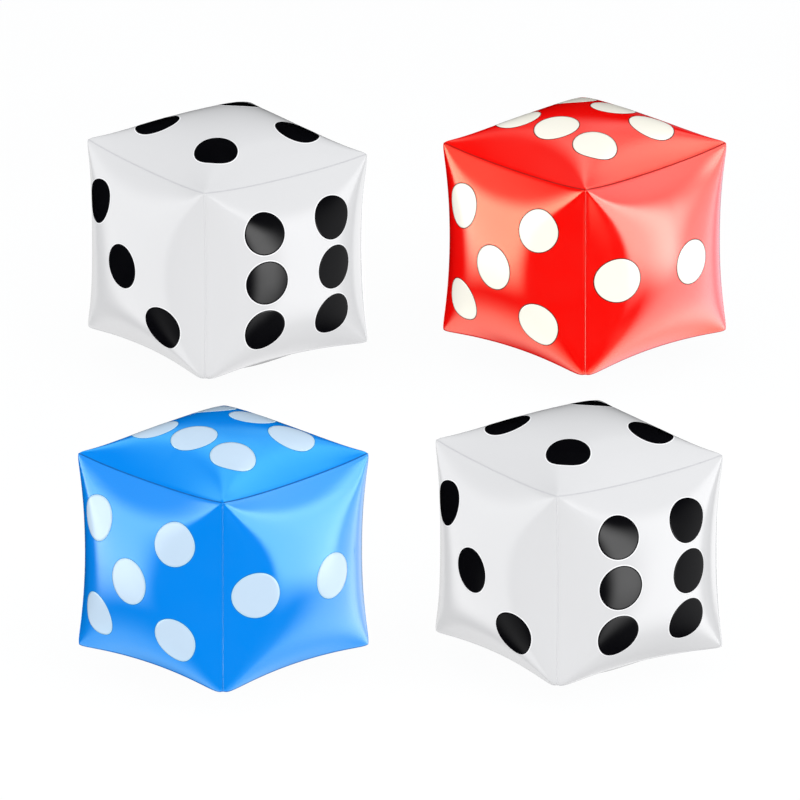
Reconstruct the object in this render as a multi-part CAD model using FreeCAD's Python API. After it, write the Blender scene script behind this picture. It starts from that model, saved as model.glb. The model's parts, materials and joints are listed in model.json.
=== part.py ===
"""Set of four giant inflatable yard dice, two white, one red and one blue, standing on the ground.

Every die is six curved vinyl panels welded along their edges, printed pips and a push-in air valve.
Millimetres. +Z is up and z = 0 is the ground. The origin is on the ground in the middle of the set.
"""
import FreeCAD, Part
import math
import os

from FreeCAD import Matrix, Vector

# ---- driving dimensions -------------------------------------------------------------------------

EDGE = 600.0              # corner to corner along one edge of an inflated die
BULGE = 0.29              # rise of a face's centre over its corners, as a share of half the edge
FLATNESS = 0.3            # share of the rise that follows a fourth power, flat in the middle
SEAM_RECESS = 0.055       # how far mid-seam is drawn in along both axes, as a share of half the edge
FILM = 0.5                # vinyl film
WELD_WIDTH = 6.0          # inward weld flange along each seam
WELD_REACH = 0.9          # share of the edge that the flange runs along, so that corners stay clear
FLAT_SAG = 5.0            # how far the bottom face is pressed flat by the ground

PIP_RADIUS = 67.5
PIP_PRINT = 0.5           # printed layer, over the film

DICE = {                  # name: (x, y, turn about +Z in degrees, pip pattern)
    "white_a": (-523.0, 1301.0, -54.0, "white"),
    "red": (537.0, 1337.0, -45.0, "coloured"),
    "blue": (-522.0, -1343.0, -45.0, "coloured"),
    "white_b": (507.0, -1295.0, -54.0, "white"),
}

VALVE_HEIGHT = -0.66      # valve centre on the back left face, as a share of half the edge
BASE_RADIUS = 25.0        # weld flange of the valve base
BASE_TOP = 0.8
BASE_BOTTOM = -2.0
COLLAR_RADIUS = 11.5
COLLAR_BOTTOM = -6.0
COLLAR_BORE = 8.5
STEM_RADIUS = 8.44
STEM_BORE = 5.5
STEM_TOP = 1.6
STEM_BOTTOM = -24.0
LIP_RADIUS = 10.8
LIP_THICKNESS = 2.0
PLUG_GAP = 0.1            # between the stem's rim and the plug's cap
PLUG_CAP_RADIUS = 7.2
PLUG_CAP_THICKNESS = 1.8
PLUG_ROOT_RADIUS = 5.25
PLUG_TIP_RADIUS = 4.0
PLUG_LENGTH = 6.0
PULL_REACH = 10.5         # lip that a finger pulls, from the plug's centre line
PULL_HALF_WIDTH = 3.0
FLAP_GAP = 0.3            # between the stem's end and the check flap
FLAP_RADIUS = 7.4
FLAP_THICKNESS = 1.0
PLUG_AXIS = (11.0, 2.9)   # plug pivot in the valve's own frame: distance from its centre line, height
FLAP_AXIS = (9.6, -25.6)  # check flap pivot
PIVOT_RADIUS = 1.1
PIN_RADIUS = 0.5
PIVOT_CLEARANCE = 0.05
TAB_HALF_WIDTH = 1.5
TAB_ROOT = 6.5            # where a tab grows out of its disc, from the centre line
TAB_THICKNESS = 1.2
EAR_GAP = 0.2
EAR_WIDTH = 1.4
EAR_BITE = 1.0            # how deep the upper ears run into the stem's wall
EAR_CLEARANCE = 0.2       # between the upper ears and the valve base
OVERRUN = 1.0             # how far a cut runs past the face it opens

# ---- the shape of one face ----------------------------------------------------------------------

HALF = EDGE / 2
DEGREE = 4

# Surface of a face over u and v from -1 to 1, in half edges, as {(power of u, power of v): factor}.
# At u = 1 it gives x = z, so the faces that share a seam have the same edge curve.
FACE_X = {(1, 0): 1.0, (3, 0): -SEAM_RECESS, (3, 2): SEAM_RECESS}
FACE_Y = {(0, 1): 1.0, (0, 3): -SEAM_RECESS, (2, 3): SEAM_RECESS}
SOFT = BULGE * (1 - FLATNESS)
FLAT = BULGE * FLATNESS
FACE_Z = {
    (0, 0): 1.0 + BULGE,
    (2, 0): -SOFT - SEAM_RECESS,
    (0, 2): -SOFT - SEAM_RECESS,
    (2, 2): SOFT + 2 * SEAM_RECESS,
    (4, 0): -FLAT,
    (0, 4): -FLAT,
    (4, 4): FLAT,
}

FACES = {                 # name: (direction of u, direction of v, outward direction) in the die
    "top": (Vector(1, 0, 0), Vector(0, 1, 0), Vector(0, 0, 1)),
    "bottom": (Vector(1, 0, 0), Vector(0, -1, 0), Vector(0, 0, -1)),
    "front_left": (Vector(1, 0, 0), Vector(0, 0, 1), Vector(0, -1, 0)),
    "front_right": (Vector(0, 1, 0), Vector(0, 0, 1), Vector(1, 0, 0)),
    "back_right": (Vector(-1, 0, 0), Vector(0, 0, 1), Vector(0, 1, 0)),
    "back_left": (Vector(0, -1, 0), Vector(0, 0, 1), Vector(-1, 0, 0)),
}

# Pip centres on a face, as shares of the edge from the face's centre.
ONE = [(0, 0)]
TWO_DIAGONAL = [(-0.2, 0.2), (0.2, -0.2)]
TWO_LEVEL = [(-0.35, 0), (0.11, 0)]
THREE = [(-0.27, 0.26), (0, 0), (0.27, -0.26)]
FOUR = [(u, v) for u in (-0.25, 0.25) for v in (-0.25, 0.25)]
FIVE = [(u, v) for u in (-0.265, 0.265) for v in (-0.25, 0.25)] + ONE
SIX_UPRIGHT = [(u, v) for u in (-0.206, 0.206) for v in (-0.257, 0, 0.257)]
SIX_LEVEL = [(u, v) for u in (-0.27, 0, 0.27) for v in (-0.2, 0.2)]

PATTERNS = {
    "white": {
        "top": FOUR,
        "bottom": FIVE,
        "front_left": THREE,
        "front_right": SIX_UPRIGHT,
        "back_right": TWO_DIAGONAL,
        "back_left": ONE,
    },
    "coloured": {
        "top": SIX_LEVEL,
        "bottom": ONE,
        "front_left": FIVE,
        "front_right": TWO_LEVEL,
        "back_right": FOUR,
        "back_left": THREE,
    },
}


def pole_weight(power, index):
    """Bernstein control value of t**power on [-1, 1]: how often each end enters the product."""
    factors = [1.0]
    for step in range(DEGREE):
        end = 1.0 if step < index else -1.0
        longer = factors + [0.0]
        for place, value in enumerate(factors):
            longer[place + 1] += value * end
        factors = longer
    return factors[power] / math.comb(DEGREE, power)


def pole_value(terms, i, j):
    return sum(factor * pole_weight(p, i) * pole_weight(q, j) for (p, q), factor in terms.items())


def face_surface(scale):
    """The +Z face as an exact Bezier surface, scaled about the die's centre."""
    surface = Part.BezierSurface()
    surface.increase(DEGREE, DEGREE)
    for i in range(DEGREE + 1):
        for j in range(DEGREE + 1):
            pole = Vector(*(pole_value(terms, i, j) for terms in (FACE_X, FACE_Y, FACE_Z)))
            surface.setPole(i + 1, j + 1, pole * HALF * scale)
    return surface


def seam_curve(side, reach, scale):
    """The seam of the +Z face on one of its four sides, cut to a share of its length."""
    drawn_in = SEAM_RECESS * reach ** 2
    poles = [
        Vector(1 - SEAM_RECESS + drawn_in, -reach, 1 - SEAM_RECESS + drawn_in),
        Vector(1 - SEAM_RECESS - drawn_in, 0, 1 - SEAM_RECESS - drawn_in),
        Vector(1 - SEAM_RECESS + drawn_in, reach, 1 - SEAM_RECESS + drawn_in),
    ]
    turn = FreeCAD.Rotation(Vector(0, 0, 1), 90 * side)
    curve = Part.BezierCurve()
    curve.setPoles([turn.multVec(pole) * HALF * scale for pole in poles])
    return curve.toShape()


def seam_face(side, reach, outer, inner):
    """Flat face in the plane between two neighbouring panels, from one scale to another."""
    first = seam_curve(side, reach, outer)
    second = seam_curve(side, reach, inner)
    ends = [Part.makeLine(first.valueAt(t), second.valueAt(t)) for t in (0, 1)]
    return Part.Face(Part.Wire(Part.sortEdges([first, second] + ends)[0]))


def layer(outer, inner):
    """Solid between the +Z face at two scales, mitred along all four seams."""
    faces = [face_surface(scale).toShape() for scale in (outer, inner)]
    faces += [seam_face(side, 1.0, outer, inner) for side in range(4)]
    shell = Part.makeShell(faces)
    shell.sewShape()
    solid = Part.Solid(Part.Shell(shell.Faces))
    if solid.Volume < 0:
        solid.reverse()
    return solid


def weld_flange(side):
    """Strip of film turned inward along a seam, where it is welded to the next panel's strip."""
    strip = seam_face(side, WELD_REACH, 1 - FILM / 2 / HALF, 1 - WELD_WIDTH / HALF)
    away = FreeCAD.Rotation(Vector(0, 0, 1), 90 * side).multVec(Vector(-1, 0, 1)).normalize()
    return strip.extrude(away * FILM)


def panel():
    film = layer(1.0, 1 - FILM / HALF)
    return film.fuse([weld_flange(side) for side in range(4)]).removeSplitter()


FLAT_LEVEL = HALF * (1 + BULGE) - FLAT_SAG
BELOW_FLAT = 0.9          # scale of the face that lies wholly under the pressed film


def pressed_panel(plain):
    """The panel with its middle pressed flat by the ground."""
    rest = Part.makeBox(2 * EDGE, 2 * EDGE, FLAT_LEVEL, Vector(-EDGE, -EDGE, 0))
    sheet = Part.makeBox(2 * EDGE, 2 * EDGE, FILM, Vector(-EDGE, -EDGE, FLAT_LEVEL - FILM))
    middle = layer(1.0, BELOW_FLAT).common(sheet)
    return plain.common(rest).fuse(middle).removeSplitter()


def pip(print_layer, centre, pressed):
    u, v = centre
    level = FLAT_LEVEL if pressed else HALF / 2
    height = PIP_PRINT if pressed else EDGE
    disc = Part.makeCylinder(PIP_RADIUS, height, Vector(u * EDGE, v * EDGE, level))
    return disc if pressed else disc.common(print_layer)


def frame_matrix(x, y, z, origin=Vector()):
    """Placement from the directions of three axes and an origin."""
    rows = [getattr(vector, name) for name in "xyz" for vector in (x, y, z, origin)]
    return Matrix(*rows, 0, 0, 0, 1)


def face_frame(name):
    return frame_matrix(*FACES[name])


# ---- the valve, in its own frame: +Z out of the face, +X up the face -----------------------------


def cylinder(radius, low, high):
    return Part.makeCylinder(radius, high - low, Vector(0, 0, low))


def across(radius, axis, low, high):
    """Cylinder along Y about a pivot at (x, z)."""
    return Part.makeCylinder(radius, high - low, Vector(axis[0], low, axis[1]), Vector(0, 1, 0))


def block(x, y, z):
    return Part.makeBox(x[1] - x[0], y[1] - y[0], z[1] - z[0], Vector(x[0], y[0], z[0]))


def merged(shapes):
    return shapes[0].fuse(shapes[1:]).removeSplitter()


def valve_base():
    flange = cylinder(BASE_RADIUS, BASE_BOTTOM, BASE_TOP)
    collar = cylinder(COLLAR_RADIUS, COLLAR_BOTTOM, BASE_TOP)
    bore = cylinder(COLLAR_BORE, COLLAR_BOTTOM - OVERRUN, BASE_TOP + OVERRUN)
    return merged([flange, collar]).cut(bore)


def pivot_ears(axis, root_x, root_z):
    """Two ears and the pin between them, joined to the stem by a web from root_x and root_z."""
    inner = TAB_HALF_WIDTH + EAR_GAP
    outer = inner + EAR_WIDTH
    low, high = sorted((axis[1], root_z))
    shapes = [across(PIN_RADIUS, axis, -outer, outer)]
    for ear in ((-outer, -inner), (inner, outer)):
        shapes.append(across(PIVOT_RADIUS, axis, *ear))
        shapes.append(block((root_x, axis[0] + PIVOT_RADIUS), ear, (low, high)))
    return shapes


def pivot_tab(axis, low, high):
    """Tab that ends in a ring round the pin."""
    half = (-TAB_HALF_WIDTH, TAB_HALF_WIDTH)
    ring = across(PIVOT_RADIUS, axis, *half)
    tab = block((TAB_ROOT, axis[0]), half, (low, high))
    return [ring, tab], across(PIN_RADIUS + PIVOT_CLEARANCE, axis, -EDGE, EDGE)


def valve_stem():
    tube = cylinder(STEM_RADIUS, STEM_BOTTOM, STEM_TOP)
    lip = cylinder(LIP_RADIUS, STEM_BOTTOM, STEM_BOTTOM + LIP_THICKNESS)
    ears = pivot_ears(PLUG_AXIS, STEM_RADIUS - EAR_BITE, BASE_TOP + EAR_CLEARANCE)
    ears += pivot_ears(FLAP_AXIS, STEM_RADIUS, STEM_BOTTOM + LIP_THICKNESS / 2)
    bore = cylinder(STEM_BORE, STEM_BOTTOM - OVERRUN, STEM_TOP + OVERRUN)
    return merged([tube, lip] + ears).cut(bore)


def valve_plug():
    """Cap with a tapered plug, a pull lip and the tab that it swings on."""
    low = STEM_TOP + PLUG_GAP
    high = low + PLUG_CAP_THICKNESS
    cap = cylinder(PLUG_CAP_RADIUS, low, high)
    tip = Vector(0, 0, low - PLUG_LENGTH)
    taper = Part.makeCone(PLUG_TIP_RADIUS, PLUG_ROOT_RADIUS, PLUG_LENGTH, tip)
    width = (-PULL_HALF_WIDTH, PULL_HALF_WIDTH)
    pull = block((-PULL_REACH, -TAB_ROOT), width, (high - TAB_THICKNESS, high))
    tab, pin_bore = pivot_tab(PLUG_AXIS, high - TAB_THICKNESS, high)
    return merged([cap, taper, pull] + tab).cut(pin_bore)


def check_flap():
    high = STEM_BOTTOM - FLAP_GAP
    low = high - FLAP_THICKNESS
    disc = cylinder(FLAP_RADIUS, low, high)
    tab, pin_bore = pivot_tab(FLAP_AXIS, low, high)
    return merged([disc] + tab).cut(pin_bore)


def valve_frame():
    """Where the valve sits in the die."""
    surface = face_surface(1.0)
    place = (1 + VALVE_HEIGHT) / 2
    origin = surface.value(0.5, place)
    out = surface.normal(0.5, place)
    up = Vector(1, 0, 0).cross(out) * -1
    side = out.cross(up)
    return face_frame("back_left") * frame_matrix(up, side, out, origin)


# ---- one die and the set ------------------------------------------------------------------------


def valve_pieces():
    frame = valve_frame()
    shapes = {
        "valve_base": valve_base(),
        "valve_stem": valve_stem(),
        "valve_plug": valve_plug(),
        "check_flap": check_flap(),
    }
    return {name: shape.transformed(frame) for name, shape in shapes.items()}


def die_panels():
    plain = panel()
    panels = {name: plain.transformed(face_frame(name)) for name in FACES}
    panels["bottom"] = pressed_panel(plain).transformed(face_frame("bottom"))
    opening = cylinder(BASE_RADIUS, -HALF / 4, HALF / 4).transformed(valve_frame())
    panels["back_left"] = panels["back_left"].cut(opening)
    return {f"{name}_panel": shape for name, shape in panels.items()}


def printed_pips(pattern):
    print_layer = layer(1 + PIP_PRINT / HALF, 1.0)
    discs = []
    for name, centres in PATTERNS[pattern].items():
        for centre in centres:
            pressed = name == "bottom" and centre == (0, 0)
            discs.append(pip(print_layer, centre, pressed).transformed(face_frame(name)))
    return Part.makeCompound([solid for disc in discs for solid in disc.Solids])


def die_frame(x, y, turn):
    rise = FLAT_LEVEL + PIP_PRINT
    return FreeCAD.Placement(Vector(x, y, rise), FreeCAD.Rotation(Vector(0, 0, 1), turn)).toMatrix()


def main():
    os.makedirs("parts", exist_ok=True)
    shared = {**die_panels(), **valve_pieces()}
    pips = {pattern: printed_pips(pattern) for pattern in PATTERNS}
    for die, (x, y, turn, pattern) in DICE.items():
        pieces = {**shared, "printed_pips": pips[pattern]}
        for name, shape in pieces.items():
            shape.transformed(die_frame(x, y, turn)).exportStep(f"parts/{die}_{name}.step")


main()
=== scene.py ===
"""Looks of the set of giant inflatable yard dice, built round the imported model. Metres, +Z up."""

import json
import math

import bpy
import numpy as np
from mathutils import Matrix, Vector


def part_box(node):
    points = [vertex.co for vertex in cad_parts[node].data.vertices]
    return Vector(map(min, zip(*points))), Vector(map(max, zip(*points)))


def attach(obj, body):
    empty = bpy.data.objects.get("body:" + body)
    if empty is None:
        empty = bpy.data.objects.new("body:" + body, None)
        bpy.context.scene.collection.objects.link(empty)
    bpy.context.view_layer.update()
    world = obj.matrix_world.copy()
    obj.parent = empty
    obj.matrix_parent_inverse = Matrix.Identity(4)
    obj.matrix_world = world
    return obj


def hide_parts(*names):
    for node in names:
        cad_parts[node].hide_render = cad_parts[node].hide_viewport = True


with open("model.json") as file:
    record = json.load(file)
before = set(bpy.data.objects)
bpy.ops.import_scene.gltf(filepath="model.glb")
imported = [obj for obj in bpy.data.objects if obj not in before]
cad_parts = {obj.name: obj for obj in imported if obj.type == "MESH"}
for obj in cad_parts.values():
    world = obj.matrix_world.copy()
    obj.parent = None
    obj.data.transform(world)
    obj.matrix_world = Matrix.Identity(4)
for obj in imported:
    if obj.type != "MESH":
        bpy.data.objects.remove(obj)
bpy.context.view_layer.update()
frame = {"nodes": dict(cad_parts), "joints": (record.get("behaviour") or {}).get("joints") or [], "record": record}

# ---- the dice, read from the frame ---------------------------------------------------------------

SIDES = {                 # face: (direction of u, direction of v, outward direction) in the die
    "top": ((1, 0, 0), (0, 1, 0), (0, 0, 1)),
    "bottom": ((1, 0, 0), (0, -1, 0), (0, 0, -1)),
    "front_left": ((1, 0, 0), (0, 0, 1), (0, -1, 0)),
    "front_right": ((0, 1, 0), (0, 0, 1), (1, 0, 0)),
    "back_right": ((-1, 0, 0), (0, 0, 1), (0, 1, 0)),
    "back_left": ((0, -1, 0), (0, 0, 1), (-1, 0, 0)),
}
SIDES = {name: np.array(axes, float) for name, axes in SIDES.items()}

ONE = [(0, 0)]
TWO_DIAGONAL = [(-0.2, 0.2), (0.2, -0.2)]
TWO_LEVEL = [(-0.35, 0), (0.11, 0)]
THREE = [(-0.27, 0.26), (0, 0), (0.27, -0.26)]
FOUR = [(u, v) for u in (-0.25, 0.25) for v in (-0.25, 0.25)]
FIVE = [(u, v) for u in (-0.265, 0.265) for v in (-0.25, 0.25)] + ONE
SIX_UPRIGHT = [(u, v) for u in (-0.206, 0.206) for v in (-0.257, 0, 0.257)]
SIX_LEVEL = [(u, v) for u in (-0.27, 0, 0.27) for v in (-0.2, 0.2)]

WHITE_PIPS = dict(zip(SIDES, (FOUR, FIVE, THREE, SIX_UPRIGHT, TWO_DIAGONAL, ONE)))
COLOURED_PIPS = dict(zip(SIDES, (SIX_LEVEL, ONE, FIVE, TWO_LEVEL, FOUR, THREE)))

PIP_RADIUS = 0.225        # all lengths on a face are in half edges
SEAM_RECESS = 0.055       # how far mid-seam is drawn in along both axes
TOP_SAG = 0.06            # how much further the seams of the top sink between its corners
SAG_NEAR_SEAM = 8         # power that keeps the sag beside the seams of the top
SAG_NEAR_TOP = 7          # power that keeps the sag to the top of the die
CORNER_TUCK = 0.012       # share that the film's corners are drawn in towards the die's centre
CORNER_REACH = 0.045      # distance from a corner over which its tuck fades
SLACK_CORNERS = {         # corners that are drawn in further, as they hold the least air
    (-1, 1, 1): 0.045,
    (1, -1, -1): 0.026,
}
SLACK_REACH = 0.09        # distance over which a slack corner's extra share fades
RIDGE = 3.0               # how crisply a face's four slopes meet, from corner to middle
BELLY = 1.6               # how much the bottom face's rise keeps to its middle, on the ground
GROUND_BLEND = 0.004      # over which the bottom skin settles on the ground
FLATNESS = 0.3            # the CAD face's own profile, followed round the valve
VALVE_HEIGHT = -0.66
VALVE_PATCH = 0.2         # radius round the valve where the skin is the CAD's own face
FOLD_REACH = 0.22         # distance from a corner at which its tension folds are deepest
NORMAL_STEP = 1e-3        # between the points that a normal is measured from

VALVE_CUT = 0.021         # metres: film inside this radius is left out, under the valve's flange
FILM = 0.0005             # metres, as the next three: thickness
PIP_PRINT = 0.0005
KEYLINE_PRINT = 0.0003
BAND_FILM = 0.0002

FOLD_DEPTH = 1.1          # millimetres, as all that are multiplied by MM
SWELL_HEIGHT = 0.7        # slow unevenness of the film
SEAM_DIP = 1.3            # how far the film is drawn in at a seam
SEAM_DIP_REACH = 0.016    # half edges
LEVEL_LIP = 0.6           # radius of the welded lip along the seams of the top and bottom
UPRIGHT_LIP = 1.4         # and along the upright seams
BAND_INSETS = (0.6, 1.2, 1.8)   # lines across the darkened band beside a seam (painted shade of its groove), from the seam inwards
BAND_LIFT = 0.35          # height over the film, as the next two
PIP_LIFT = 0.5
KEYLINE_LIFT = 0.3

SIDE_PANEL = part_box("red_front_left_panel")
HALF = (SIDE_PANEL[1].z - SIDE_PANEL[0].z) / 2
CENTRE_HEIGHT = (SIDE_PANEL[1].z + SIDE_PANEL[0].z) / 2
BULGE = (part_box("red_top_panel")[1].z - CENTRE_HEIGHT) / HALF - 1
MM = 0.001 / HALF


class Die:
    """Where one die is, and which way it is turned."""

    def __init__(self, name, pips, seed):
        self.name = name
        self.pips = pips
        self.body = f"{name}_die"
        rest = next(m for m in frame["record"]["mounts"] if m["name"] == f"{name}_rest")
        self.centre = np.array([rest["pos_m"][0], rest["pos_m"][1], CENTRE_HEIGHT])
        slide = next(j for j in frame["joints"] if j["name"] == f"{name}_stem_slide")
        out = np.array([slide["axis"][0], slide["axis"][1], 0.0])
        out /= np.linalg.norm(out)
        self.turn = np.column_stack([-out, [out[1], -out[0], 0.0], [0.0, 0.0, 1.0]])
        draw = np.random.default_rng(seed)
        self.shapes = {side: SideShape(side, draw) for side in SIDES}

    def place(self, points):
        """From half edges in the die to metres in the frame."""
        return (points * HALF) @ self.turn.T + self.centre


def sagged(points):
    """The skin with the seams of the top sunk between its corners."""
    x, y, z = points[..., 0], points[..., 1], points[..., 2]
    span_x, span_y = np.maximum(0, 1 - x ** 2), np.maximum(0, 1 - y ** 2)
    beside = span_x * y ** SAG_NEAR_SEAM + span_y * x ** SAG_NEAR_SEAM
    drop = TOP_SAG * beside * np.maximum(0, z) ** SAG_NEAR_TOP
    return np.stack([x, y, z - drop], -1)


class SideShape:
    """The inflated skin on one side of a die, over u and v from -1 to 1."""

    def __init__(self, side, draw):
        self.side = side
        self.axes = SIDES[side]
        self.corner_waves = draw.normal(0, 1, (2, 2, 3))
        self.swell = draw.normal(0, 1, (4, 3))

    def height(self, u, v):
        """Rise over the plane of the face's corners."""
        p, q = 1 - u ** 2, 1 - v ** 2
        rise = p * q * (2 / (p ** RIDGE + q ** RIDGE + 1e-9)) ** (1 / RIDGE)
        if self.side == "bottom":
            rise = np.maximum(0, p * q) ** BELLY
        if self.side == "back_left":
            plain = (1 - FLATNESS) * p * q + FLATNESS * (1 - u ** 4) * (1 - v ** 4)
            rise += (plain - rise) * self.near_valve(u, v)
        return BULGE * rise - SEAM_RECESS * (q * u ** 2 + p * v ** 2)

    def near_valve(self, u, v):
        """Close to 1 within the patch round the valve, and 0 away from it."""
        return np.exp(-((u ** 2 + (v - VALVE_HEIGHT) ** 2) / VALVE_PATCH ** 2) ** 2)

    def creases(self, u, v):
        """Tension folds that fan out from the corners, and slow unevenness of the film."""
        a, b = 1 - np.abs(u), 1 - np.abs(v)
        reach = np.hypot(a, b)
        angle = np.arctan2(b, a)
        corner = self.corner_waves[(u > 0).astype(int), (v > 0).astype(int)]
        fans = sum(
            corner[..., i] * np.sin(2 * m * angle) / m for i, m in enumerate((2, 3, 5))
        )
        share = reach / FOLD_REACH
        folds = FOLD_DEPTH * MM * fans * share * np.exp(1 - share)
        slow = 0
        for i, (size, heading, phase) in enumerate(self.swell, 1):
            run = u * math.cos(heading) + v * math.sin(heading)
            slow = slow + size * np.sin(2.2 * i * run + 3 * phase) / i
        p, q = 1 - u ** 2, 1 - v ** 2
        off_seam = np.minimum(1, 6 * np.minimum(a, b))
        total = folds * off_seam + SWELL_HEIGHT * MM * slow * p * q
        if self.side == "back_left":
            total = total * (1 - self.near_valve(u, v))
        return total

    def point(self, u, v):
        """Skin points in the die's own axes, in half edges."""
        u, v = np.asarray(u, float), np.asarray(v, float)
        p, q = 1 - u ** 2, 1 - v ** 2
        x = u - SEAM_RECESS * q * u ** 3
        y = v - SEAM_RECESS * p * v ** 3
        z = 1 + self.height(u, v) + self.creases(u, v)
        if self.side == "bottom":
            level = (CENTRE_HEIGHT - FILM) / HALF
            z = level - GROUND_BLEND * np.logaddexp(0, (level - z) / GROUND_BLEND)
        shape = np.stack([x, y, z], -1) @ self.axes
        shape *= (1 - self.tuck(u, v))[..., None]
        return sagged(shape)

    def tuck(self, u, v):
        """Share that the seams and the corners are drawn in towards the die's centre."""
        a, b = 1 - np.abs(u), 1 - np.abs(v)
        seam = SEAM_DIP * MM * np.exp(-(np.minimum(a, b) / SEAM_DIP_REACH) ** 2)
        reach = np.hypot(a, b)
        corner = CORNER_TUCK * np.exp(-reach / CORNER_REACH)
        flat = np.stack([np.sign(u), np.sign(v), np.ones_like(u)], -1) @ self.axes
        for place, slack in SLACK_CORNERS.items():
            here = np.all(np.round(flat) == place, axis=-1)
            corner = corner + here * slack * np.exp(-reach / SLACK_REACH)
        return seam + corner

    def normal(self, u, v):
        along = self.point(u + NORMAL_STEP, v) - self.point(u - NORMAL_STEP, v)
        up = self.point(u, v + NORMAL_STEP) - self.point(u, v - NORMAL_STEP)
        n = np.cross(along, up)
        return n / np.linalg.norm(n, axis=-1, keepdims=True)


# ---- mesh helpers --------------------------------------------------------------------------------


def mesh_object(name, points, faces, material):
    mesh = bpy.data.meshes.new(name)
    mesh.from_pydata([tuple(p) for p in points], [], faces)
    mesh.validate()
    mesh.shade_smooth()
    mesh.materials.append(material)
    obj = bpy.data.objects.new(name, mesh)
    bpy.context.scene.collection.objects.link(obj)
    return obj


def grid_faces(rows, columns, start=0, wrap=False):
    """Four-sided faces between rows of points. With wrap, each row is a closed ring."""
    faces = []
    for i in range(rows - 1):
        for j in range(columns if wrap else columns - 1):
            k = (j + 1) % columns
            low, high = start + i * columns, start + (i + 1) * columns
            faces.append((low + j, high + j, high + k, low + k))
    return faces


def thicken(obj, thickness):
    """Gives a skin its film thickness, inwards, with a square rim."""
    skin_faces = len(obj.data.polygons)
    solid = obj.modifiers.new("film", "SOLIDIFY")
    solid.thickness = thickness
    solid.offset = -1
    graph = bpy.context.evaluated_depsgraph_get()
    mesh = bpy.data.meshes.new_from_object(obj.evaluated_get(graph))
    obj.modifiers.clear()
    obj.data = mesh
    for rim in mesh.polygons[2 * skin_faces:]:
        rim.use_smooth = False


# ---- materials -----------------------------------------------------------------------------------


class Nodes:
    """A short way to write a node tree."""

    def __init__(self, name):
        self.material = bpy.data.materials.new(name)
        self.material.use_nodes = True
        self.tree = self.material.node_tree
        self.shader = self.tree.nodes["Principled BSDF"]

    def add(self, kind, inputs=None, **settings):
        node = self.tree.nodes.new(kind)
        for key, value in settings.items():
            setattr(node, key, value)
        for key, value in (inputs or {}).items():
            self.put(node, key, value)
        return node

    def put(self, node, key, value):
        if isinstance(value, bpy.types.NodeSocket):
            self.tree.links.new(value, node.inputs[key])
        else:
            node.inputs[key].default_value = value

    def set(self, **inputs):
        for key, value in inputs.items():
            self.put(self.shader, key.replace("_", " "), value)

    def noise(self, scale, detail=3.0):
        place = self.add("ShaderNodeTexCoord").outputs["Object"]
        inputs = {"Vector": place, "Scale": scale, "Detail": detail, "Roughness": 0.5}
        return self.add("ShaderNodeTexNoise", inputs).outputs["Fac"]

    def spread(self, noise, low, high):
        """From the span that a noise fills to the one between low and high."""
        inputs = {"Value": noise, "From Min": 0.15, "From Max": 0.85, "To Min": low, "To Max": high}
        node = self.add("ShaderNodeMapRange", inputs, interpolation_type="SMOOTHSTEP")
        return node.outputs["Result"]

    def mottle(self, scale, first, second, detail=3.0):
        """Base colour that wanders between two colours."""
        node = self.add("ShaderNodeMix", data_type="RGBA")
        factor, colour_a, colour_b = (node.inputs[i] for i in (0, 6, 7))
        self.tree.links.new(self.spread(self.noise(scale, detail), 0.0, 1.0), factor)
        colour_a.default_value = (*first, 1)
        colour_b.default_value = (*second, 1)
        self.set(Base_Color=node.outputs[2])

    def bump(self, height, strength, distance):
        inputs = {"Height": height, "Strength": strength, "Distance": distance}
        self.set(Normal=self.add("ShaderNodeBump", inputs).outputs["Normal"])


def vinyl(name, colour, shade, gloss, tint):
    """Inflated vinyl film: glossy, very faintly mottled, with slow waviness."""
    n = Nodes(name)
    n.mottle(4.0, colour, shade)
    n.set(Roughness=n.spread(n.noise(11.0), 0.10, 0.15))
    n.set(IOR=1.5, Specular_IOR_Level=gloss, Specular_Tint=(*tint, 1))
    n.bump(n.noise(7.0, 1.0), 0.2, 0.002)
    return n.material


def printing(name, colour, shade, roughness=0.16, gloss=0.5):
    """Gloss ink on the film, with a faint unevenness of the ink layer."""
    n = Nodes(name)
    n.mottle(12.0, colour, shade)
    n.set(Roughness=n.spread(n.noise(20.0), roughness - 0.02, roughness + 0.03))
    n.set(IOR=1.5, Specular_IOR_Level=gloss)
    n.bump(n.noise(7.0, 1.0), 0.2, 0.002)
    return n.material


def shaded_weld(name, colour, shade):
    """Film beside a seam, duller where welded, in a darker colour that is painted shade of the seam's groove."""
    return printing(name, colour, shade, roughness=0.4, gloss=0.05)


def moulded(name, colour, roughness):
    """Soft moulded vinyl of the valve, slightly milky."""
    n = Nodes(name)
    n.mottle(120.0, colour, tuple(c * 0.9 for c in colour))
    n.set(Roughness=n.spread(n.noise(300.0), roughness - 0.05, roughness + 0.08))
    n.set(Subsurface_Weight=0.15, Subsurface_Radius=(0.004, 0.004, 0.004))
    n.bump(n.noise(700.0, 2.0), 0.1, 0.0002)
    return n.material


def floor_paint():
    """Matt white, with a little light of its own as of a lit sweep, so that shadows stay pale."""
    n = Nodes("floor_paint")
    n.mottle(0.8, (0.27, 0.27, 0.27), (0.26, 0.26, 0.26), detail=2.0)
    n.set(Roughness=0.9, Specular_IOR_Level=0.1)
    n.set(Emission_Color=(1.0, 1.0, 1.0, 1), Emission_Strength=0.715)
    return n.material


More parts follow.
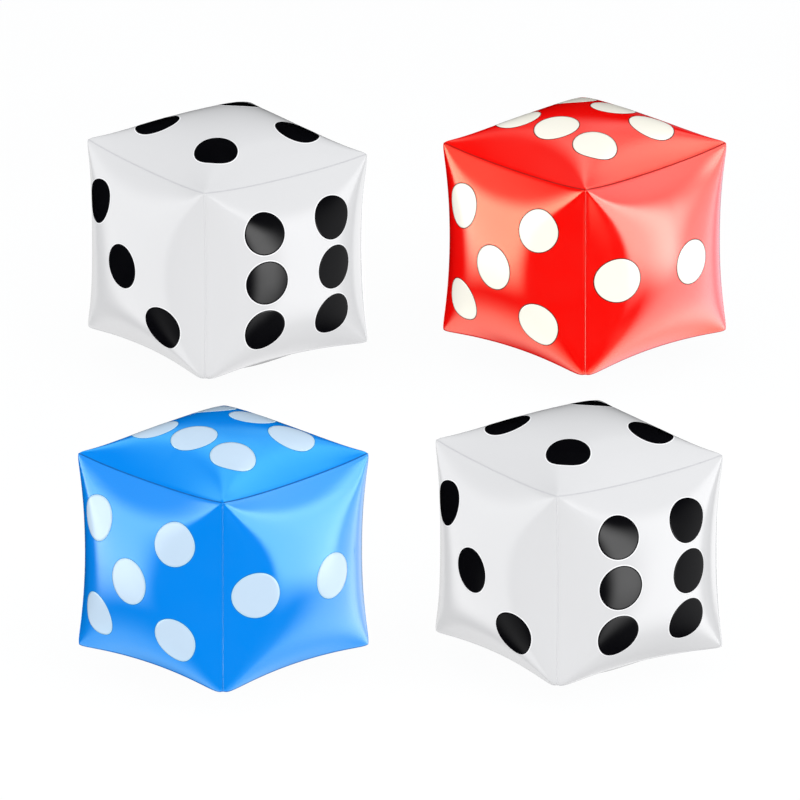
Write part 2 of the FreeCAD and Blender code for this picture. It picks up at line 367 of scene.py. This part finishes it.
WHITE_SKIN = vinyl("white_vinyl", (0.72, 0.72, 0.73), (0.71, 0.71, 0.72), 0.4, (1, 1, 1))
RED_SKIN = vinyl("red_vinyl", (0.98, 0.001, 0.0004), (0.96, 0.0008, 0.0003), 1.0, (1, 0.9, 0.64))
BLUE_SKIN = vinyl(
    "blue_vinyl", (0.0005, 0.25, 0.87), (0.0004, 0.24, 0.85), 0.72, (0.5, 0.9, 0.95)
)
BLACK_INK = printing("black_print", (0.002, 0.002, 0.003), (0.003, 0.003, 0.004))
CREAM_INK = printing("cream_print", (0.98, 0.95, 0.85), (0.97, 0.94, 0.83))
PALE_INK = printing("pale_blue_print", (0.57, 0.72, 0.88), (0.55, 0.70, 0.86), gloss=0.3)
WHITE_LINE = printing("white_keyline", (0.96, 0.96, 0.97), (0.95, 0.95, 0.96))
BROWN_LINE = printing("brown_keyline", (0.12, 0.008, 0.003), (0.10, 0.007, 0.003), gloss=0.1)
CYAN_LINE = printing("cyan_keyline", (0.45, 0.86, 0.98), (0.42, 0.84, 0.97))
BLUE_LINE = printing("blue_keyline", (0.01, 0.13, 0.45), (0.01, 0.11, 0.40), gloss=0.1)
# The darker colours of these three are painted shade along the grooves and creases of the seams.
WHITE_SEAM_SHADE = shaded_weld("white_weld_shade", (0.62, 0.62, 0.64), (0.60, 0.60, 0.62))
RED_SEAM_SHADE = shaded_weld("red_weld_shade", (0.50, 0.004, 0.002), (0.46, 0.004, 0.002))
BLUE_SEAM_SHADE = shaded_weld("blue_weld_shade", (0.002, 0.13, 0.47), (0.002, 0.12, 0.44))
VALVE_PLASTIC = moulded("valve_vinyl", (0.82, 0.84, 0.84), 0.35)
FLAP_FILM = moulded("flap_film", (0.75, 0.79, 0.8), 0.2)

# Printed lines round a pip: inner and outer radius as shares of the pip's, and the ink.
WHITE_RINGS = [(0.985, 1.05, WHITE_LINE)]
RED_RINGS = [(0.985, 1.04, BROWN_LINE)]
BLUE_RINGS = [(0.975, 1.02, CYAN_LINE), (1.02, 1.042, BLUE_LINE)]

# What each group of light cards lights.
WHITE_LIT, WHITE_TOP, BLACK_LIT, RED_LIT, RED_TOP, BLUE_LIT, BLUE_TOP, BACK_LIT = (
    bpy.data.collections.new(f"{group}_card")
    for group in ("white", "white_top", "black", "red", "red_top", "blue", "blue_top", "back")
)

# Film, film beside the seams darkened as painted shade, ink and lines, and what lights the sides, the top and the
# pips.
WHITE_STOCK = (WHITE_SKIN, WHITE_SEAM_SHADE, BLACK_INK, WHITE_RINGS, WHITE_LIT, WHITE_TOP, BLACK_LIT)
RED_STOCK = (RED_SKIN, RED_SEAM_SHADE, CREAM_INK, RED_RINGS, RED_LIT, RED_TOP, RED_LIT)
BLUE_STOCK = (BLUE_SKIN, BLUE_SEAM_SHADE, PALE_INK, BLUE_RINGS, BLUE_LIT, BLUE_TOP, BLUE_LIT)
DICE = [
    (Die("white_a", WHITE_PIPS, 11), WHITE_STOCK),
    (Die("red", COLOURED_PIPS, 23), RED_STOCK),
    (Die("blue", COLOURED_PIPS, 37), BLUE_STOCK),
    (Die("white_b", WHITE_PIPS, 41), WHITE_STOCK),
]

# ---- pieces --------------------------------------------------------------------------------------

SKIN_LINES = 85           # grid lines across a panel
SEAM_POINTS = 121
BAND_POINTS = 97
PIP_SEGMENTS = 72
DISC_CIRCLES = 16
KEYLINE_CIRCLES = 4
DISC_HOLE = 0.01          # share of a pip's radius: the innermost circle, which one face closes


def closer_at_ends(count, share):
    """Numbers from -1 to 1 that lie closer together towards both ends."""
    t = np.linspace(-1, 1, count)
    return t * (1 + share) - share * t ** 3


def panel(die, side, material):
    shape = die.shapes[side]
    lines = closer_at_ends(SKIN_LINES, 0.35)
    u, v = np.meshgrid(lines, lines, indexing="ij")
    points = die.place(shape.point(u, v)).reshape(-1, 3)
    faces = grid_faces(SKIN_LINES, SKIN_LINES)
    if side == "back_left":
        low, high = (np.array(corner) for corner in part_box(f"{die.name}_valve_base"))
        off = np.linalg.norm(points - (low + high) / 2, axis=1)
        faces = [f for f in faces if max(off[i] for i in f) > VALVE_CUT]
    node = f"{die.name}_{side}_panel"
    obj = mesh_object(f"{node}_skin", *without_loose(points, faces), material)
    thicken(obj, FILM)
    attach(obj, die.body)
    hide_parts(node)
    return obj


def without_loose(points, faces):
    """The points that faces use, and the faces with the points' new numbers."""
    used = sorted({i for face in faces for i in face})
    number = {old: new for new, old in enumerate(used)}
    return points[used], [tuple(number[i] for i in face) for face in faces]


def circles(die, side, centre, radii, offset):
    """Points over the skin round a pip's centre, one circle for each radius."""
    shape = die.shapes[side]
    angle = np.linspace(0, 2 * math.pi, PIP_SEGMENTS, endpoint=False)
    u = 2 * centre[0] + np.outer(radii, np.cos(angle))
    v = 2 * centre[1] + np.outer(radii, np.sin(angle))
    points = shape.point(u, v) + shape.normal(u, v) * offset
    return die.place(points).reshape(-1, 3)


def prints(die, radii, lift, thickness, name, material, closed=False):
    """One printed disc or ring at every pip of a die, as one object."""
    points, faces = [], []
    for side, centres in die.pips.items():
        for centre in centres:
            start = len(points)
            points.extend(circles(die, side, centre, radii, lift))
            faces += grid_faces(len(radii), PIP_SEGMENTS, start, wrap=True)
            if closed:
                faces.append(tuple(range(start, start + PIP_SEGMENTS)))
    obj = mesh_object(name, points, faces, material)
    thicken(obj, thickness)
    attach(obj, die.body)
    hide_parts(f"{die.name}_printed_pips")
    return obj


def seam_ridges(die, name, lines, radius, material):
    """The narrow welded lip that stands along each seam, as a rounded bead."""
    along = closer_at_ends(SEAM_POINTS, 0.2)
    angle = np.linspace(-0.15, math.pi + 0.15, 9)       # a little over a half circle
    profile = [(radius * math.cos(a), radius * math.sin(a)) for a in angle]
    points, faces = [], []
    for side, u, v in lines(along, np.ones_like(along)):
        line = die.shapes[side].point(u, v)
        out = line / np.linalg.norm(line, axis=1, keepdims=True)
        run = np.gradient(line, axis=0)
        out -= run * (np.sum(out * run, 1) / np.sum(run * run, 1))[:, None]
        out /= np.linalg.norm(out, axis=1, keepdims=True)
        across = np.cross(run, out)
        across /= np.linalg.norm(across, axis=1, keepdims=True)
        start = len(points)
        rows = np.stack([line + (across * x + out * y) * MM for x, y in profile], 1)
        points.extend(die.place(rows).reshape(-1, 3))
        faces += grid_faces(len(along), len(profile), start, wrap=True)
        end = start + (len(along) - 1) * len(profile)
        faces.append(tuple(range(start, start + len(profile))))
        faces.append(tuple(reversed(range(end, end + len(profile)))))
    obj = mesh_object(f"{die.name}_{name}", points, faces, material)
    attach(obj, die.body)
    return obj


def weld_shade_bands(die, material):
    """The film beside each seam, in a darker colour as painted shade of the seam's groove."""
    t = np.linspace(-0.985, 0.985, BAND_POINTS)          # stops just short of the corners
    inset = 1 - np.array(BAND_INSETS) * MM
    along, across = np.meshgrid(t, inset, indexing="ij")
    points, faces = [], []
    for shape in die.shapes.values():
        for u, v in ((along, across), (along, -across), (across, along), (-across, along)):
            start = len(points)
            skin = shape.point(u, v) + shape.normal(u, v) * BAND_LIFT * MM
            points.extend(die.place(skin).reshape(-1, 3))
            faces += grid_faces(len(t), len(inset), start)
    obj = mesh_object(f"{die.name}_weld_bands", points, faces, material)
    thicken(obj, BAND_FILM)
    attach(obj, die.body)
    return obj


def level_seams(along, ones):
    """The four seams of the top and the four of the bottom."""
    for side in ("top", "bottom"):
        for edge in (-1, 1):
            yield side, along, edge * ones
            yield side, edge * ones, along


def upright_seams(along, ones):
    """The four seams at the sides."""
    for side in ("front_left", "back_right"):
        for edge in (-1, 1):
            yield side, edge * ones, along


def build_die(die, skin, band, ink, rings, skin_lit, top_lit, ink_lit):
    """All pieces of a die, each with its finish and the cards that light it."""
    groups = {"top": top_lit, "back_left": BACK_LIT, "back_right": BACK_LIT}
    pieces = [(panel(die, side, skin), skin, groups.get(side, skin_lit)) for side in SIDES]
    pieces += [
        # The beads of the top and bottom seams take the darker band colour: painted shade of their crease.
        (seam_ridges(die, "level_seams", level_seams, LEVEL_LIP, band), skin, skin_lit),
        (seam_ridges(die, "upright_seams", upright_seams, UPRIGHT_LIP, skin), skin, skin_lit),
        (weld_shade_bands(die, band), skin, skin_lit),
    ]
    disc = np.linspace(DISC_HOLE, 1, DISC_CIRCLES) * PIP_RADIUS
    pips = prints(die, disc, PIP_LIFT * MM, PIP_PRINT, f"{die.name}_pips", ink, closed=True)
    pieces.append((pips, ink, ink_lit))
    for inner, outer, line in rings:
        ring = np.linspace(inner, outer, KEYLINE_CIRCLES) * PIP_RADIUS
        name = f"{die.name}_pip_{line.name}"
        keyline = prints(die, ring, KEYLINE_LIFT * MM, KEYLINE_PRINT, name, line)
        pieces.append((keyline, ink, ink_lit))
    for piece, material, lit in pieces:
        # Blender numbers a name that the frame's own materials hold already.
        piece.visible_glossy = False
        piece.visible_diffuse = False
        lit.objects.link(piece)
    for part in ("valve_base", "valve_stem", "valve_plug", "check_flap"):
        node = frame["nodes"][f"{die.name}_{part}"]
        node.data.materials.clear()
        node.data.materials.append(FLAP_FILM if part == "check_flap" else VALVE_PLASTIC)
        BACK_LIT.objects.link(node)


# ---- stage, lights and camera --------------------------------------------------------------------


def add_floor():
    far = 40.0
    corners = [(-far, -far, 0), (far, -far, 0), (far, far, 0), (-far, far, 0)]
    floor = mesh_object("studio_floor", corners, [(0, 1, 2, 3)], floor_paint())
    floor.visible_glossy = False
    floor.visible_shadow = False


def area_light(name, azimuth, elevation, spread, radiance):
    """Area light that faces the dice. Spread is its two half angles, as seen from the dice."""
    distance = 14.0
    light = bpy.data.lights.new(name, "AREA")
    light.shape = "RECTANGLE"
    light.size, light.size_y = (2 * distance * math.tan(math.radians(a)) for a in spread)
    light.energy = radiance * light.size * light.size_y * math.pi
    way = direction(azimuth, elevation)
    obj = bpy.data.objects.new(name, light)
    obj.location = way * distance + Vector((0, 0, CENTRE_HEIGHT))
    obj.rotation_euler = way.to_track_quat("Z", "Y").to_euler()
    obj.visible_camera = False
    bpy.context.scene.collection.objects.link(obj)
    return obj


def soften(light, share):
    """Fades a card out towards its edges, over a share of its half width."""
    light.use_nodes = True
    tree = light.node_tree
    place = tree.nodes.new("ShaderNodeNewGeometry").outputs["Parametric"]
    axes = tree.nodes.new("ShaderNodeSeparateXYZ")
    tree.links.new(place, axes.inputs[0])
    fades = []
    for axis in ("X", "Y"):
        inward = tree.nodes.new("ShaderNodeMath")
        inward.operation = "PINGPONG"
        tree.links.new(axes.outputs[axis], inward.inputs[0])
        inward.inputs[1].default_value = 0.5
        fade = tree.nodes.new("ShaderNodeMapRange")
        fade.interpolation_type = "SMOOTHSTEP"
        fade.inputs["From Max"].default_value = 0.5 * share
        tree.links.new(inward.outputs[0], fade.inputs["Value"])
        fades.append(fade.outputs["Result"])
    both = tree.nodes.new("ShaderNodeMath")
    both.operation = "MULTIPLY"
    for socket, value in zip(both.inputs, fades):
        tree.links.new(value, socket)
    tree.links.new(both.outputs[0], tree.nodes["Emission"].inputs["Strength"])


def direction(azimuth, elevation):
    """Azimuth 0 is +Y and 90 is +X, in degrees."""
    a, e = math.radians(azimuth), math.radians(elevation)
    return Vector((math.sin(a) * math.cos(e), math.cos(a) * math.cos(e), math.sin(e)))


# Cards that show only in the gloss: azimuth, elevation, half angles across and up, radiance and
# the share of the half width over which the card fades out.
COLOURED_CARDS = {
    "right_core": (108, 7, 27, 33, 5.6, 0.42),
    "right_middle": (74, -10, 34, 46, 2.8, 0.75),
    "right_far": (35, -15, 32, 38, 1.2, 0.75),
    "right_upper": (90, 46, 45, 26, 2.4, 0.75),
    "low_right": (97, -60, 58, 32, 1.5, 0.7),
    "left_core": (-86, 2, 30, 32, 5.0, 0.6),
    "left_upper": (-95, 42, 36, 24, 0.9, 0.75),
    "low_left": (-95, -66, 50, 36, 1.4, 0.6),
}
WHITE_TOP_CARDS = {"over": (-10, 62, 40, 14, 0.4, 0.75)}
TOP_CARDS = {
    "right_far": (35, -15, 32, 38, 1.2, 0.75),
    "over_left": (-40, 35, 35, 25, 0.22, 0.75),
    "over_right": (75, 40, 30, 24, 1.8, 0.75),
    "over_back": (25, 38, 34, 14, 0.9, 0.75),
    "over_front": (25, 60, 40, 20, 2.0, 0.75),
}
BLUE_TOP_CARDS = {**TOP_CARDS, "over_left": (-40, 35, 35, 25, 1.5, 0.75)}
WHITE_CARDS = {
    "right_core": (98, -8, 30, 42, 3.4, 0.6),
    "right_rim": (25, -25, 22, 35, 1.2, 0.5),
    "left_core": (-85, -8, 34, 42, 1.9, 0.45),
    "left_rim": (-20, -25, 22, 35, 0.7, 0.5),
}
BLACK_CARDS = {
    "right_core": (131, -8, 19, 28, 3.0, 0.75),
    "right": (70, -10, 50, 45, 0.3, 0.75),
    "left": (-110, -40, 30, 24, 0.3, 0.75),
}
BACK_CARDS = {
    "left": (-78, 5, 26, 30, 3.0, 0.6),
    "right": (10, -5, 26, 34, 1.6, 0.75),
    "over": (-45, 50, 50, 24, 1.2, 0.75),
    "low": (-45, -58, 55, 28, 0.9, 0.75),
}
# The gels on the cards of the red and the blue die, by the first word of the card's name.
RED_GELS = {
    "left": (1, 1, 0.86),
    "right": (0.95, 0.97, 1.12),
    "low": (1, 0.97, 0.84),
    "over": (1, 1, 1),
}
BLUE_GELS = {
    "left": (0.85, 0.95, 1),
    "right": (0.95, 1.06, 1),
    "low": (0.45, 0.8, 1),
    "over": (0.5, 1.25, 1),
}
CLEAR = dict.fromkeys(RED_GELS, (1, 1, 1))


def add_lights():
    """Diffuse light from all round and above, and the cards."""
    for lit, cards, gels in (
        (WHITE_LIT, WHITE_CARDS, CLEAR),
        (WHITE_TOP, WHITE_TOP_CARDS, CLEAR),
        (BLACK_LIT, BLACK_CARDS, CLEAR),
        (BACK_LIT, BACK_CARDS, CLEAR),
        (RED_LIT, COLOURED_CARDS, RED_GELS),
        (RED_TOP, TOP_CARDS, RED_GELS),
        (BLUE_LIT, COLOURED_CARDS, BLUE_GELS),
        (BLUE_TOP, BLUE_TOP_CARDS, BLUE_GELS),
    ):
        for name, (azimuth, elevation, across, up, radiance, fade) in cards.items():
            card = area_light(f"{lit.name}_{name}", azimuth, elevation, (across, up), radiance)
            card.data.color = gels[name.split("_")[0]]
            card.visible_diffuse = False
            soften(card.data, fade)
            card.light_linking.receiver_collection = lit
    fills = {
        "above": (180, 75, 40, 0.27),
        "right": (125, 10, 34, 0.54),
        "left": (-125, 10, 34, 0.39),
    }
    for name, (azimuth, elevation, spread, radiance) in fills.items():
        fill = area_light(f"fill_{name}", azimuth, elevation, (spread, spread), radiance)
        fill.visible_glossy = False
    world = bpy.data.worlds.new("studio")
    world.use_nodes = True
    sky = world.node_tree.nodes["Background"].inputs
    sky["Color"].default_value = (0.98, 0.99, 1.0, 1)
    sky["Strength"].default_value = 0.91
    world.cycles_visibility.glossy = False
    bpy.context.scene.world = world


def add_camera():
    """Long lens from in front and above, as a product shot."""
    elevation = math.radians(20.0)
    distance = 100.0      # metres; far off, for a long lens; at most what the views round the object allow
    view_width = 2.345    # metres across at the middle of the set
    aim_right, aim_down = -0.011, 0.0287
    camera = bpy.data.cameras.new("camera")
    camera.lens = camera.sensor_width * distance / view_width
    camera.clip_end = 300
    obj = bpy.data.objects.new("camera", camera)
    back = Vector((0, -math.cos(elevation), math.sin(elevation)))
    up = Vector((0, math.sin(elevation), math.cos(elevation)))
    target = Vector((aim_right, 0, CENTRE_HEIGHT)) - up * aim_down
    obj.location = target + back * distance
    obj.rotation_euler = back.to_track_quat("Z", "Y").to_euler()
    bpy.context.scene.collection.objects.link(obj)
    bpy.context.scene.camera = obj


for die, stock in DICE:
    build_die(die, *stock)
add_floor()
add_lights()
add_camera()
bpy.context.scene.view_settings.view_transform = "Standard"
